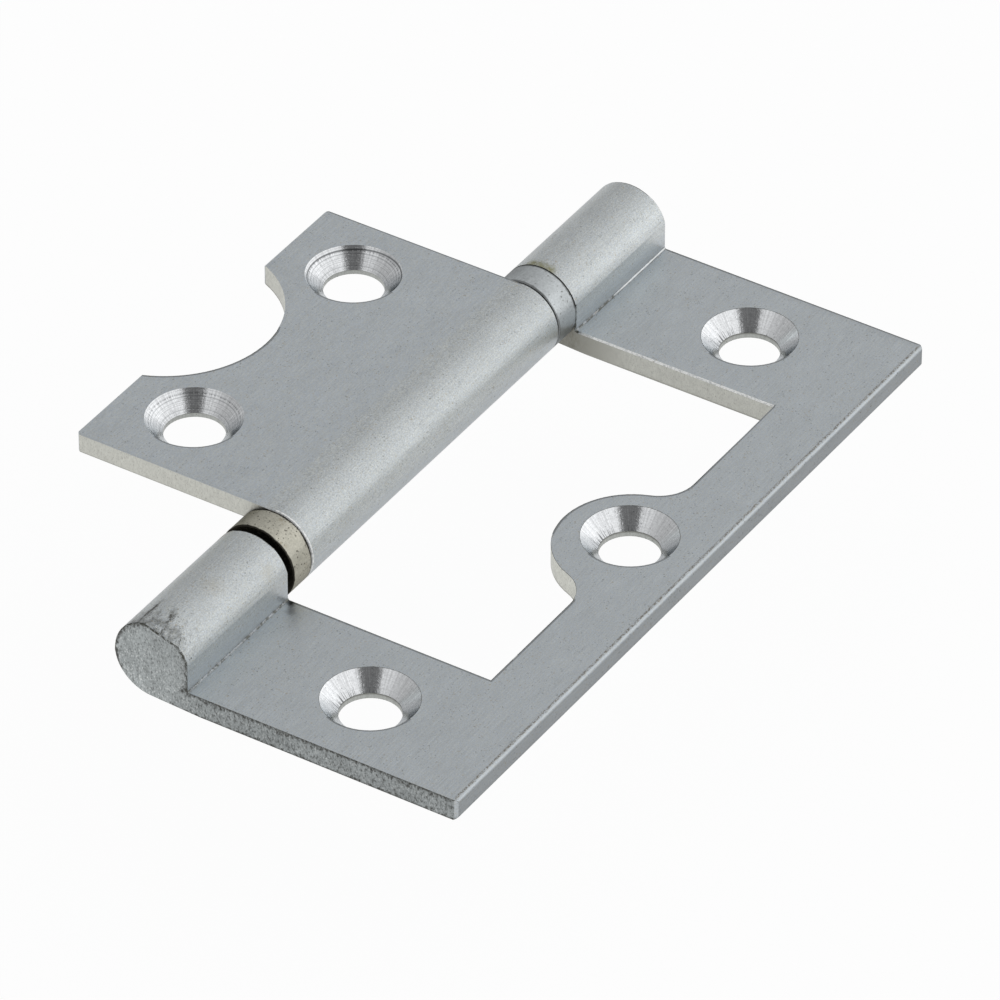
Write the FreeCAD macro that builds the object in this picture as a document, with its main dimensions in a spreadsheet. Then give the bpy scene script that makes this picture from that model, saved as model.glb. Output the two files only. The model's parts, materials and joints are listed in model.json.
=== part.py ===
import FreeCAD, Part
import math
import os
import re
import Sketcher

# Flush hinge, open and lying flat on its large leaf. The pin runs along Y, the large leaf reaches
# towards +X and the small leaf towards -X. Each piece is drawn about the pin, with z = 0 on the
# back of the large leaf, and its Placement moves it to the middle of the hinge's footprint.
# Millimetres and degrees.

# How a sketch numbers the points of a curve and its own axes.
START, END, CENTRE = range(1, 4)
X_AXIS, Y_AXIS = range(-1, -3, -1)
ORIGIN = (X_AXIS, START)

SIZES = [
    ("barrel_radius", 3.15, "outside of every knuckle"),
    ("pin_height", 3.35, "pin axis above the back of the large leaf"),
    ("pin_radius", 1.5, "steel pin"),
    ("running_clearance", 0.05, "radial play of the turning pieces on the pin"),
    ("outer_length", 64.0, "large leaf along the pin"),
    ("outer_reach", 25.75, "pin axis to the edge of the large leaf"),
    ("outer_thickness", 1.8, "plate of the large leaf"),
    ("outer_corner_radius", 0.4, "plan corners of the large leaf"),
    ("flank_reach", 3.05, "pin axis to the upright flank of the end knuckles"),
    ("root_radius", 0.16, "fillet between flank and plate"),
    ("flat_back_start", 4.0, "pin axis to where the back of the large leaf becomes flat"),
    ("window_shift", 0.14, "middle of the window past the middle of the large leaf"),
    ("window_reach", 20.3, "pin axis to the far side of the window"),
    ("lug_reach", 20.4, "pin axis to the centre of the lug"),
    ("lug_shift", -0.24, "centre of the lug past the middle of the large leaf"),
    ("lug_radius", 5.96, "outside of the lug"),
    ("lug_root_radius", 3.0, "where the lug runs into the rail"),
    ("inner_length", 33.0, "small leaf along the pin"),
    ("inner_reach", 17.35, "pin axis to the free edge of the small leaf"),
    ("inner_thickness", 1.7, "plate of the small leaf"),
    ("inner_corner_radius", 0.25, "plan corners of the small leaf"),
    ("notch_offset", 3.25, "centre of the notch outside the free edge"),
    ("notch_radius", 8.72, "notch in the free edge"),
    ("screw_hole_radius", 2.3, "through holes for the screws"),
    ("countersink_radius", 3.64, "rims of the countersinks"),
    ("countersink_angle", 90.0, "full angle of the countersinks"),
    ("outer_hole_reach", 14.28, "pin axis to the two end holes"),
    ("outer_hole_spacing", 51.42, "end hole to end hole"),
    ("outer_hole_shift", 0.16, "middle of the end holes past the middle of the large leaf"),
    ("lug_hole_reach", 19.7, "pin axis to the hole in the lug"),
    ("lug_hole_shift", 0.43, "hole in the lug past the middle of the large leaf"),
    ("inner_hole_reach", 11.22, "pin axis to the holes of the small leaf"),
    ("inner_hole_spacing", 21.1, "hole to hole on the small leaf"),
    ("inner_hole_shift", 0.23, "middle of these holes past the middle of the small leaf"),
    ("washer_width", 2.33, "each spacing washer along the pin"),
    ("edge_break", 0.08, "broken edges of the washers and of the small leaf's ends"),
    ("seat_gap", 0.03, "far knuckle to the far washer"),
    ("far_play", 0.12, "far washer to the small leaf"),
    ("near_play", 0.09, "small leaf to the near washer"),
    ("near_gap", 0.68, "near washer to the near knuckle"),
    ("pin_end_wall", 2.0, "metal between the blind end of the pin hole and the near end"),
    ("pin_lead", 0.3, "chamfer on the end of the pin that goes in first"),
    ("file_mark_length", 3.0, "filed crown of the near knuckle, along the pin"),
    ("file_mark_depth", 0.42, "filed crown, at the end face"),
    ("file_mark_lean", 18.0, "filed crown, turned from upright towards the plate"),
]

# Places that follow from the sizes, each worked out once.
PLACES = [
    ("crown_height", "pin_height + barrel_radius"),
    ("flank_top", "pin_height + sqrt(barrel_radius ^ 2 - flank_reach ^ 2)"),
    ("root_start", "flank_reach + root_radius"),
    ("root_top", "outer_thickness + root_radius"),
    ("window_open_side", "-barrel_radius - outer_thickness"),
    ("knuckle_stack", "inner_length + 2 * washer_width"),
    ("window_length", "seat_gap + far_play + knuckle_stack + near_play + near_gap"),
    ("window_near", "window_shift - window_length / 2"),
    ("window_far", "window_shift + window_length / 2"),
    ("lug_root_line", "window_reach - lug_root_radius"),
    ("lug_root_rise", "sqrt((lug_radius + lug_root_radius) ^ 2 - (lug_reach - lug_root_line) ^ 2)"),
    ("lug_root_near", "lug_shift - lug_root_rise"),
    ("lug_root_far", "lug_shift + lug_root_rise"),
    ("near_hole_place", "outer_hole_shift - outer_hole_spacing / 2"),
    ("far_hole_place", "outer_hole_shift + outer_hole_spacing / 2"),
    ("far_washer_end", "window_far - seat_gap"),
    ("inner_far_end", "far_washer_end - washer_width - far_play"),
    ("inner_middle", "inner_far_end - inner_length / 2"),
    ("near_washer_end", "inner_far_end - inner_length - near_play"),
    ("inner_back", "crown_height - inner_thickness"),
    ("inner_root", "-sqrt(barrel_radius ^ 2 - (inner_back - pin_height) ^ 2)"),
    ("inner_edge", "-inner_reach"),
    ("notch_place", "-inner_reach - notch_offset"),
    ("inner_hole_line", "-inner_hole_reach"),
    ("inner_near_hole", "inner_middle + inner_hole_shift - inner_hole_spacing / 2"),
    ("inner_far_hole", "inner_middle + inner_hole_shift + inner_hole_spacing / 2"),
    ("running_radius", "pin_radius + running_clearance"),
    ("pin_length", "outer_length - pin_end_wall"),
    ("outer_end", "outer_length / 2"),
    ("outer_near_end", "-outer_length / 2"),
    ("file_mark_start", "outer_near_end + file_mark_length"),
    ("file_mark_radius", "(file_mark_length ^ 2 + file_mark_depth ^ 2) / (2 * file_mark_depth)"),
    ("file_mark_centre", "barrel_radius - file_mark_radius"),
    ("footprint_middle", "(outer_reach - inner_reach) / 2"),
]

os.makedirs("parts", exist_ok=True)
doc = FreeCAD.newDocument("flush_hinge")
sheet = doc.addObject("Spreadsheet::Sheet", "Sizes")
places = doc.addObject("Spreadsheet::Sheet", "Places")
SHEET_OF = {row[0]: "Sizes" for row in SIZES} | {row[0]: "Places" for row in PLACES}


def linked(words):
    """An expression with the sheet's name before every alias in it."""
    return re.sub(r"[a-z]+(_[a-z]+)+", lambda found: f"{SHEET_OF[found[0]]}.{found[0]}", words)


for line, (alias, value, note) in enumerate(SIZES, start=1):
    sheet.set(f"A{line}", note)
    sheet.set(f"B{line}", str(value))
    sheet.setAlias(f"B{line}", alias)
for line, (alias, words) in enumerate(PLACES, start=1):
    places.set(f"A{line}", "=" + linked(words))
    places.setAlias(f"A{line}", alias)
doc.recompute()


def value_of(alias):
    return float((sheet if SHEET_OF[alias] == "Sizes" else places).get(alias))


def new_body(name):
    """A named piece, placed so that the hinge stands on the middle of its footprint."""
    body = doc.addObject("PartDesign::Body", name)
    body.Label = name
    body.setExpression("Placement.Base.x", linked("-footprint_middle"))
    return body


def new_sketch(body, name, role, height=None):
    """A sketch on one of the body's own planes, moved along the plane's normal."""
    sketch = body.newObject("Sketcher::SketchObject", name)
    plane = next(f for f in body.Origin.OriginFeatures if f.Role == role)
    sketch.AttachmentSupport = [(plane, "")]
    sketch.MapMode = "FlatFace"
    if height:
        sketch.setExpression("AttachmentOffset.Base.z", linked(height))
    return sketch


def fix(sketch, kind, alias, *refs):
    """A driving dimension of the sketch, bound to the sheets."""
    index = sketch.addConstraint(Sketcher.Constraint(kind, *refs, value_of(alias)))
    name = f"{alias}_{index}"
    sketch.renameConstraint(index, name)
    sketch.setExpression(f"Constraints.{name}", linked(alias))


def pin_point(sketch, geometry, point, x_alias, y_alias):
    """Holds a point of the sketch at a place across and along, where None is on the axis."""
    if x_alias:
        fix(sketch, "DistanceX", x_alias, *ORIGIN, geometry, point)
    else:
        sketch.addConstraint(Sketcher.Constraint("PointOnObject", geometry, point, Y_AXIS))
    if y_alias:
        fix(sketch, "DistanceY", y_alias, *ORIGIN, geometry, point)
    else:
        sketch.addConstraint(Sketcher.Constraint("PointOnObject", geometry, point, X_AXIS))


def point(x, y):
    return FreeCAD.Vector(x, y, 0)


def circle(x, y, radius):
    return Part.Circle(point(x, y), FreeCAD.Vector(0, 0, 1), radius)


def arc(x, y, radius, first, last):
    """An arc, counterclockwise between two angles in degrees."""
    return Part.ArcOfCircle(circle(x, y, radius), math.radians(first), math.radians(last))


def join(sketch, *pairs):
    for pair in pairs:
        sketch.addConstraint(Sketcher.Constraint("Coincident", *pair))


def extrude(body, kind, name, sketch, length=None, symmetric=True):
    """A Pad or Pocket, along the sketch's normal or both ways, and right through without a length."""
    feature = body.newObject(f"PartDesign::{kind}", name)
    feature.Profile = sketch
    if length:
        feature.SideType = "Symmetric" if symmetric else "One side"
        feature.setExpression("Length", linked(length))
        feature.Reversed = kind == "Pocket" and not symmetric
    else:
        feature.SideType = "Two sides"
        feature.Type = "ThroughAll"
        feature.Type2 = "ThroughAll"
    sketch.Visibility = False
    doc.recompute()
    return feature


def add_holes(body, name, top, hole_places):
    """Countersunk screw holes, sunk from the plate's top."""
    sketch = new_sketch(body, name + "_sketch", "XY_Plane", top)
    for index, (x_alias, y_alias) in enumerate(hole_places):
        sketch.addGeometry(circle(value_of(x_alias), value_of(y_alias), 1.0))
        pin_point(sketch, index, CENTRE, x_alias, y_alias)
        fix(sketch, "Radius", "screw_hole_radius", index)
    doc.recompute()
    hole = body.newObject("PartDesign::Hole", name)
    hole.Profile = sketch
    hole.ThreadType = "None"
    hole.DepthType = "ThroughAll"
    hole.HoleCutType = "Countersink"
    hole.HoleCutCustomValues = True
    hole.setExpression("Diameter", linked("2 * screw_hole_radius"))
    hole.setExpression("HoleCutDiameter", linked("2 * countersink_radius"))
    hole.setExpression("HoleCutCountersinkAngle", linked("countersink_angle"))
    doc.recompute()


def edges_where(body, test):
    """Names of the edges whose two ends both pass the test, in the body's own frame."""
    shape = body.Tip.Shape
    return [
        f"Edge{number}"
        for number, edge in enumerate(shape.Edges, start=1)
        if len(edge.Vertexes) > 0 and all(test(v.Point) for v in edge.Vertexes)
    ]


def dress(body, kind, name, edges, alias):
    """A Fillet or Chamfer of the given edges."""
    if not edges:
        raise RuntimeError(f"{name} found no edges")
    base = body.Tip
    feature = body.newObject(f"PartDesign::{kind}", name)
    feature.Base = (base, edges)
    feature.setExpression("Radius" if kind == "Fillet" else "Size", linked(alias))
    doc.recompute()


def near(a, b):
    return abs(a - b) < 1e-4


def draw_outer_section(sketch):
    """Knuckle and plate of the large leaf, seen along the pin."""
    height, radius = value_of("pin_height"), value_of("barrel_radius")
    flank, top = value_of("flank_reach"), value_of("flank_top")
    thick, reach = value_of("outer_thickness"), value_of("outer_reach")
    back = value_of("flat_back_start")
    root_x, root_z = value_of("root_start"), value_of("root_top")
    flank_turn = math.degrees(math.atan2(top - height, flank))
    back_turn = math.degrees(math.acos(radius / math.hypot(back, height)) + math.atan2(height, back))
    touch = math.radians(-back_turn)
    tangent_point = point(radius * math.cos(touch), height + radius * math.sin(touch))
    barrel, slope, plate_back, plate_edge, plate_top, root, side = range(7)
    sketch.addGeometry(
        [
            arc(0, height, radius, flank_turn, 360 - back_turn),
            Part.LineSegment(tangent_point, point(back, 0)),
            Part.LineSegment(point(back, 0), point(reach, 0)),
            Part.LineSegment(point(reach, 0), point(reach, thick)),
            Part.LineSegment(point(reach, thick), point(root_x, thick)),
            arc(root_x, root_z, root_x - flank, 180, 270),
            Part.LineSegment(point(flank, root_z), point(flank, top)),
        ]
    )
    sketch.addConstraint(Sketcher.Constraint("Tangent", barrel, END, slope, START))
    join(
        sketch,
        (slope, END, plate_back, START),
        (plate_back, END, plate_edge, START),
        (plate_edge, END, plate_top, START),
        (plate_top, END, root, END),
        (root, START, side, START),
        (side, END, barrel, START),
    )
    pin_point(sketch, barrel, CENTRE, None, "pin_height")
    fix(sketch, "Radius", "barrel_radius", barrel)
    pin_point(sketch, slope, END, "flat_back_start", None)
    pin_point(sketch, plate_back, END, "outer_reach", None)
    pin_point(sketch, plate_edge, END, "outer_reach", "outer_thickness")
    fix(sketch, "DistanceX", "root_start", *ORIGIN, plate_top, END)
    pin_point(sketch, root, CENTRE, "root_start", "root_top")
    pin_point(sketch, side, START, "flank_reach", "root_top")
    fix(sketch, "DistanceX", "flank_reach", *ORIGIN, side, END)


def draw_window(sketch):
    """The window's outline from above, with the lug left standing in its far side."""
    side, open_side = value_of("window_reach"), value_of("window_open_side")
    low, high = value_of("window_near"), value_of("window_far")
    lug_x, lug_y, lug_r = value_of("lug_reach"), value_of("lug_shift"), value_of("lug_radius")
    root_x, root_r = value_of("lug_root_line"), value_of("lug_root_radius")
    root_low, root_high = value_of("lug_root_near"), value_of("lug_root_far")
    lean = math.degrees(math.atan2(root_high - lug_y, lug_x - root_x))
    near_wall, near_side, near_root, lug, far_root, far_side, far_wall, mouth = range(8)
    sketch.addGeometry(
        [
            Part.LineSegment(point(open_side, low), point(side, low)),
            Part.LineSegment(point(side, low), point(side, root_low)),
            arc(root_x, root_low, root_r, 0, lean),
            arc(lug_x, lug_y, lug_r, 180 - lean, 180 + lean),
            arc(root_x, root_high, root_r, -lean, 0),
            Part.LineSegment(point(side, root_high), point(side, high)),
            Part.LineSegment(point(side, high), point(open_side, high)),
            Part.LineSegment(point(open_side, high), point(open_side, low)),
        ]
    )
    join(
        sketch,
        (near_wall, END, near_side, START),
        (near_side, END, near_root, START),
        (far_root, END, far_side, START),
        (far_side, END, far_wall, START),
        (far_wall, END, mouth, START),
        (mouth, END, near_wall, START),
    )
    sketch.addConstraint(Sketcher.Constraint("Tangent", near_root, END, lug, END))
    sketch.addConstraint(Sketcher.Constraint("Tangent", lug, START, far_root, START))
    pin_point(sketch, near_wall, START, "window_open_side", "window_near")
    pin_point(sketch, near_wall, END, "window_reach", "window_near")
    pin_point(sketch, far_side, END, "window_reach", "window_far")
    pin_point(sketch, far_wall, END, "window_open_side", "window_far")
    pin_point(sketch, near_side, END, "window_reach", "lug_root_near")
    pin_point(sketch, far_side, START, "window_reach", "lug_root_far")
    pin_point(sketch, lug, CENTRE, "lug_reach", "lug_shift")
    fix(sketch, "DistanceX", "lug_root_line", *ORIGIN, near_root, CENTRE)
    fix(sketch, "DistanceX", "lug_root_line", *ORIGIN, far_root, CENTRE)
    fix(sketch, "Radius", "lug_radius", lug)


def draw_file_mark(sketch):
    """Side view of what the file took off the near knuckle, with heights from the pin axis."""
    lean = FreeCAD.Rotation(FreeCAD.Vector(1, 0, 0), value_of("file_mark_lean"))
    sketch.AttachmentOffset = FreeCAD.Placement(FreeCAD.Vector(), lean)
    sketch.setExpression("AttachmentOffset.Base.y", linked("pin_height"))
    sketch.setExpression("AttachmentOffset.Rotation.Angle", linked("file_mark_lean"))
    end, start = value_of("outer_near_end"), value_of("file_mark_start")
    crown, radius = value_of("barrel_radius"), value_of("file_mark_radius")
    centre = value_of("file_mark_centre")
    depth = value_of("file_mark_depth")
    sweep = math.degrees(math.asin(value_of("file_mark_length") / radius))
    sketch.addGeometry(
        [
            arc(start, centre, radius, 90, 90 + sweep),
            Part.LineSegment(point(end, crown - depth), point(end, crown)),
            Part.LineSegment(point(end, crown), point(start, crown)),
        ]
    )
    join(sketch, (0, END, 1, START), (1, END, 2, START), (2, END, 0, START))
    pin_point(sketch, 0, CENTRE, "file_mark_start", "file_mark_centre")
    pin_point(sketch, 2, START, "outer_near_end", "barrel_radius")
    pin_point(sketch, 2, END, "file_mark_start", "barrel_radius")
    sketch.addConstraint(Sketcher.Constraint("Vertical", 1))


def make_outer_leaf():
    body = new_body("outer_leaf")
    section = new_sketch(body, "outer_section", "XZ_Plane")
    draw_outer_section(section)
    extrude(body, "Pad", "drawn_bar", section, "outer_length")
    window = new_sketch(body, "window_sketch", "XY_Plane")
    draw_window(window)
    extrude(body, "Pocket", "window", window)
    mark = new_sketch(body, "file_mark_sketch", "YZ_Plane")
    draw_file_mark(mark)
    extrude(body, "Pocket", "file_mark", mark, "2 * barrel_radius")
    seat = new_sketch(body, "pin_seat_sketch", "XZ_Plane", "-outer_end")
    seat.addGeometry(circle(0, value_of("pin_height"), value_of("pin_radius")))
    pin_point(seat, 0, CENTRE, None, "pin_height")
    fix(seat, "Radius", "pin_radius", 0)
    extrude(body, "Pocket", "pin_seat", seat, "pin_length", symmetric=False)
    add_holes(
        body,
        "outer_screw_holes",
        "outer_thickness",
        [
            ("outer_hole_reach", "near_hole_place"),
            ("outer_hole_reach", "far_hole_place"),
            ("lug_hole_reach", "lug_hole_shift"),
        ],
    )
    reach, end = value_of("outer_reach"), value_of("outer_end")
    corners = edges_where(body, lambda p: near(p.x, reach) and near(abs(p.y), end))
    dress(body, "Fillet", "outer_corners", corners, "outer_corner_radius")
    return body


def draw_inner_section(sketch):
    """Knuckle and plate of the small leaf, seen along the pin."""
    height, radius = value_of("pin_height"), value_of("barrel_radius")
    top, back = value_of("crown_height"), value_of("inner_back")
    edge, root = value_of("inner_edge"), value_of("inner_root")
    turn = math.degrees(math.atan2(back - height, root))
    barrel, plate_top, plate_edge, plate_back = range(4)
    sketch.addGeometry(
        [
            arc(0, height, radius, turn, 450),
            Part.LineSegment(point(0, top), point(edge, top)),
            Part.LineSegment(point(edge, top), point(edge, back)),
            Part.LineSegment(point(edge, back), point(root, back)),
        ]
    )
    join(
        sketch,
        (barrel, END, plate_top, START),
        (plate_top, END, plate_edge, START),
        (plate_edge, END, plate_back, START),
        (plate_back, END, barrel, START),
    )
    pin_point(sketch, barrel, CENTRE, None, "pin_height")
    fix(sketch, "Radius", "barrel_radius", barrel)
    sketch.addConstraint(Sketcher.Constraint("PointOnObject", plate_top, START, Y_AXIS))
    pin_point(sketch, plate_top, END, "inner_edge", "crown_height")
    pin_point(sketch, plate_edge, END, "inner_edge", "inner_back")
    fix(sketch, "DistanceY", "inner_back", *ORIGIN, plate_back, END)


def make_inner_leaf():
    body = new_body("inner_leaf")
    section = new_sketch(body, "inner_section", "XZ_Plane", "-inner_middle")
    draw_inner_section(section)
    extrude(body, "Pad", "drawn_bar_small", section, "inner_length")
    free_edge = value_of("inner_edge")
    far_end = value_of("inner_far_end")
    near_end = far_end - value_of("inner_length")
    corners = []
    for end in (near_end, far_end):
        corners += edges_where(body, lambda p: near(p.x, free_edge) and near(p.y, end))
    dress(body, "Fillet", "inner_corners", corners, "inner_corner_radius")
    outlines = []
    for end in (near_end, far_end):
        outlines += edges_where(body, lambda p: near(p.y, end))
    dress(body, "Chamfer", "broken_ends", outlines, "edge_break")
    notch = new_sketch(body, "notch_sketch", "XY_Plane")
    notch.addGeometry(circle(value_of("notch_place"), value_of("inner_middle"), 1.0))
    pin_point(notch, 0, CENTRE, "notch_place", "inner_middle")
    fix(notch, "Radius", "notch_radius", 0)
    extrude(body, "Pocket", "notch", notch)
    bore = new_sketch(body, "bore_sketch", "XZ_Plane")
    bore.addGeometry(circle(0, value_of("pin_height"), 1.0))
    pin_point(bore, 0, CENTRE, None, "pin_height")
    fix(bore, "Radius", "running_radius", 0)
    extrude(body, "Pocket", "bore", bore)
    add_holes(
        body,
        "inner_screw_holes",
        "crown_height",
        [("inner_hole_line", "inner_near_hole"), ("inner_hole_line", "inner_far_hole")],
    )
    return body


def make_ring(name, end):
    """A spacing washer, whose far end lies at the given place along the pin."""
    body = new_body(name)
    ring = new_sketch(body, name + "_sketch", "XZ_Plane", "-" + end)
    for index, alias in enumerate(("barrel_radius", "running_radius")):
        ring.addGeometry(circle(0, value_of("pin_height"), value_of(alias)))
        pin_point(ring, index, CENTRE, None, "pin_height")
        fix(ring, "Radius", alias, index)
    extrude(body, "Pad", name + "_pad", ring, "washer_width", symmetric=False)
    rims = [
        f"Edge{number}"
        for number, edge in enumerate(body.Tip.Shape.Edges, start=1)
        if edge.Curve.TypeId == "Part::GeomCircle" and near(edge.Curve.Radius, value_of("barrel_radius"))
    ]
    dress(body, "Chamfer", name + "_rims", rims, "edge_break")
    return body


def make_pin():
    body = new_body("hinge_pin")
    rod = new_sketch(body, "pin_sketch", "XZ_Plane", "-outer_end")
    rod.addGeometry(circle(0, value_of("pin_height"), value_of("pin_radius")))
    pin_point(rod, 0, CENTRE, None, "pin_height")
    fix(rod, "Radius", "pin_radius", 0)
    extrude(body, "Pad", "pin_rod", rod, "pin_length", symmetric=False)
    blind_end = value_of("outer_near_end") + value_of("pin_end_wall")
    lead = edges_where(body, lambda p: near(p.y, blind_end))
    dress(body, "Chamfer", "pin_lead_edge", lead, "pin_lead")
    return body


bodies = [
    make_outer_leaf(),
    make_inner_leaf(),
    make_ring("near_washer", "near_washer_end"),
    make_ring("far_washer", "far_washer_end"),
    make_pin(),
]
doc.recompute()

for item in doc.Objects:
    for state in ("Invalid", "Error"):
        if state in item.State:
            raise RuntimeError(f"{item.Name} is {state}")
for body in bodies:
    shape = body.Shape
    if shape.isNull() or not shape.isValid() or len(shape.Solids) != 1:
        raise RuntimeError(f"{body.Label} isn't one valid solid")
    box = shape.BoundBox
    print(f"{body.Label}: volume {shape.Volume:.2f}, x {box.XMin:.2f} to {box.XMax:.2f},"
          f" y {box.YMin:.2f} to {box.YMax:.2f}, z {box.ZMin:.2f} to {box.ZMax:.2f}")
    shape.exportStep(f"parts/{body.Label}.step")
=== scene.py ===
import json
import math

import bmesh
import bpy
from mathutils import Matrix, Vector


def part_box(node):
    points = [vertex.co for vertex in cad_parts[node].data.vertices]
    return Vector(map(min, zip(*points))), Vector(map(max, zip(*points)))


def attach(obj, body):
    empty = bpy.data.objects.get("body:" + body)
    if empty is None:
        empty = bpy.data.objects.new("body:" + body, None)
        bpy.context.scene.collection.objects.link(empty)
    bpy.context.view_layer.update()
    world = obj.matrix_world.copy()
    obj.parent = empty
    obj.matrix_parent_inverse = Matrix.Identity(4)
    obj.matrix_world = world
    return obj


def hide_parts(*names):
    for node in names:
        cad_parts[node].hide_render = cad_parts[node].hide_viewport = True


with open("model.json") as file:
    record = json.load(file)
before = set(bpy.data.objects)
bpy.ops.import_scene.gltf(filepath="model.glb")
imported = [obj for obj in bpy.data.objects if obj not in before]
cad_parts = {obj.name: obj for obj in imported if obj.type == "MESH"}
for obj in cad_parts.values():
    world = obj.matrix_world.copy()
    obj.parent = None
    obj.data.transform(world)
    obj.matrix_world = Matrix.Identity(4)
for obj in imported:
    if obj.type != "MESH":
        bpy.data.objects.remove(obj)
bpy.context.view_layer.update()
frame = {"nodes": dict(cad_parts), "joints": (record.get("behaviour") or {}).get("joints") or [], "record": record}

# Flush hinge in satin plate, lying open. The pin runs along Y. The pale floor lies lower than the hinge,
# so that the small leaf has room where it hangs down, and it is clear from beneath.
# Lengths in the dictionaries are millimetres, and everything built is in metres.
mm = 0.001
print("frame loaded:", sorted(frame["nodes"]))

pinX, _, pinZ = (value / mm for value in frame["joints"][0]["pos_m"])
mounts = {mount["name"]: mount for mount in frame["record"]["mounts"]}


# Both hole centres of a pattern that runs along Y.
def boltHoles(name):
    mount = mounts[name]
    x, y, _ = (value / mm for value in mount["pos_m"])
    half = mount["dims"]["spacing_y_mm"] / 2
    return [(x, y - half), (x, y + half)]


def boxOf(node):
    low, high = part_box(node)
    return low / mm, high / mm


outerLow, outerHigh = boxOf("outer_leaf")
innerLow, innerHigh = boxOf("inner_leaf")
washerLow, washerHigh = boxOf("near_washer")
plate = {"top": 1.8, "innerBack": mounts["inner_screws"]["pos_m"][2] / mm}
knuckle = {"radius": (washerHigh.x - washerLow.x) / 2, "foot": pinX + 3.05}
window = {"farY": 19.43}
hole = {"rim": 3.64, "lug": (15.5, 0.43)}
screwHoles = boltHoles("outer_screws") + boltHoles("inner_screws") + [hole["lug"]]

# The press left a plate's upper edges rounder on the sides that look back or left.
roundSide = {"towards": Vector((-0.54, 0.84, 0)), "strip": 0.12}


# A node in a tree, with its sockets set by name or number.
def addNode(tree, kind, inputs=None, **settings):
    node = tree.nodes.new(kind)
    for name, value in settings.items():
        setattr(node, name, value)
    for name, value in (inputs or {}).items():
        if isinstance(value, bpy.types.NodeSocket):
            tree.links.new(value, node.inputs[name])
        else:
            node.inputs[name].default_value = value
    return node


def calc(tree, operation, *values):
    return addNode(tree, "ShaderNodeMath", dict(enumerate(values)), operation=operation).outputs[0]


def times(tree, product, *values):
    for value in values:
        product = calc(tree, "MULTIPLY", product, value)
    return product


def strongest(tree, most, *values):
    for value in values:
        most = calc(tree, "MAXIMUM", most, value)
    return most


# A share of a value, added to a base.
def scaled(tree, value, share, base):
    return calc(tree, "MULTIPLY_ADD", value, share, base)


# A share of a noise, taken either side of its middle and added to a base.
def swing(tree, noise, share, base):
    return scaled(tree, calc(tree, "SUBTRACT", noise, 0.5), share, base)


# A level that changes by an equal share each way as a value runs from 0 to 1.
def around(tree, value, level, change):
    return scaled(tree, value, 2 * change, level - change)


def vectorMath(tree, operation, *values):
    made = addNode(tree, "ShaderNodeVectorMath", dict(enumerate(values)), operation=operation).outputs
    return made["Value"] if operation in ("DISTANCE", "DOT_PRODUCT", "LENGTH") else made["Vector"]


# Runs from 0 at low to 1 at high, clamped, or falls where low is above high.
def fade(tree, value, low, high):
    if low < high:
        ends = {"From Min": low, "From Max": high, "To Min": 0.0, "To Max": 1.0}
    else:
        ends = {"From Min": high, "From Max": low, "To Min": 1.0, "To Max": 0.0}
    return addNode(tree, "ShaderNodeMapRange", {"Value": value, **ends}).outputs[0]


def mixColour(tree, factor, first, second, blend="MIX"):
    node = addNode(tree, "ShaderNodeMix", data_type="RGBA", blend_type=blend)
    for socket, value in ((node.inputs[0], factor), (node.inputs[6], first), (node.inputs[7], second)):
        if isinstance(value, bpy.types.NodeSocket):
            tree.links.new(value, socket)
        else:
            socket.default_value = value
    return node.outputs[2]


# A colour as it shows on screen, 0 to 255, in the linear values that sockets take.
def screen(red, green, blue):
    def linear(value):
        value /= 255
        return value / 12.92 if value <= 0.04045 else ((value + 0.055) / 1.055) ** 2.4
    return (linear(red), linear(green), linear(blue), 1.0)


# One screen colour laid over another as far as a mask says.
def paintOver(tree, colour, mask, shade, strength=1.0):
    share = mask if strength == 1.0 else times(tree, mask, strength)
    return mixColour(tree, share, colour, screen(*shade))


def tint(tree, colour, level):
    grey = addNode(tree, "ShaderNodeCombineColor", {0: level, 1: level, 2: level}).outputs[0]
    return mixColour(tree, 1.0, colour, grey, "MULTIPLY")


# Object coordinates in millimetres.
def placeOf(tree):
    coordinates = addNode(tree, "ShaderNodeTexCoord").outputs["Object"]
    return addNode(tree, "ShaderNodeVectorMath", {0: coordinates, 3: 1 / mm}, operation="SCALE").outputs[0]


def partsOf(tree):
    return addNode(tree, "ShaderNodeSeparateXYZ", {0: placeOf(tree)}).outputs


# The way a face looks on its own piece.
def facingOf(tree):
    return addNode(tree, "ShaderNodeTexCoord").outputs["Normal"]


def noiseAt(tree, place, stretch, size, detail=2.0, rough=0.5):
    made = addNode(tree, "ShaderNodeTexNoise", {
        "Vector": vectorMath(tree, "MULTIPLY", place, stretch),
        "Scale": size, "Detail": detail, "Roughness": rough})
    return made.outputs["Fac"]


def newGroup(name, inputs, outputs):
    tree = bpy.data.node_groups.new(name, "ShaderNodeTree")
    for label, value in inputs.items():
        socket = tree.interface.new_socket(label, in_out="INPUT", socket_type="NodeSocketFloat")
        socket.default_value = value
    for label in outputs:
        tree.interface.new_socket(label, in_out="OUTPUT", socket_type="NodeSocketFloat")
    return tree, tree.nodes.new("NodeGroupInput").outputs, tree.nodes.new("NodeGroupOutput")


def giveOut(tree, out, **values):
    for label, value in values.items():
        tree.links.new(value, out.inputs[label])
    return tree


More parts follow.
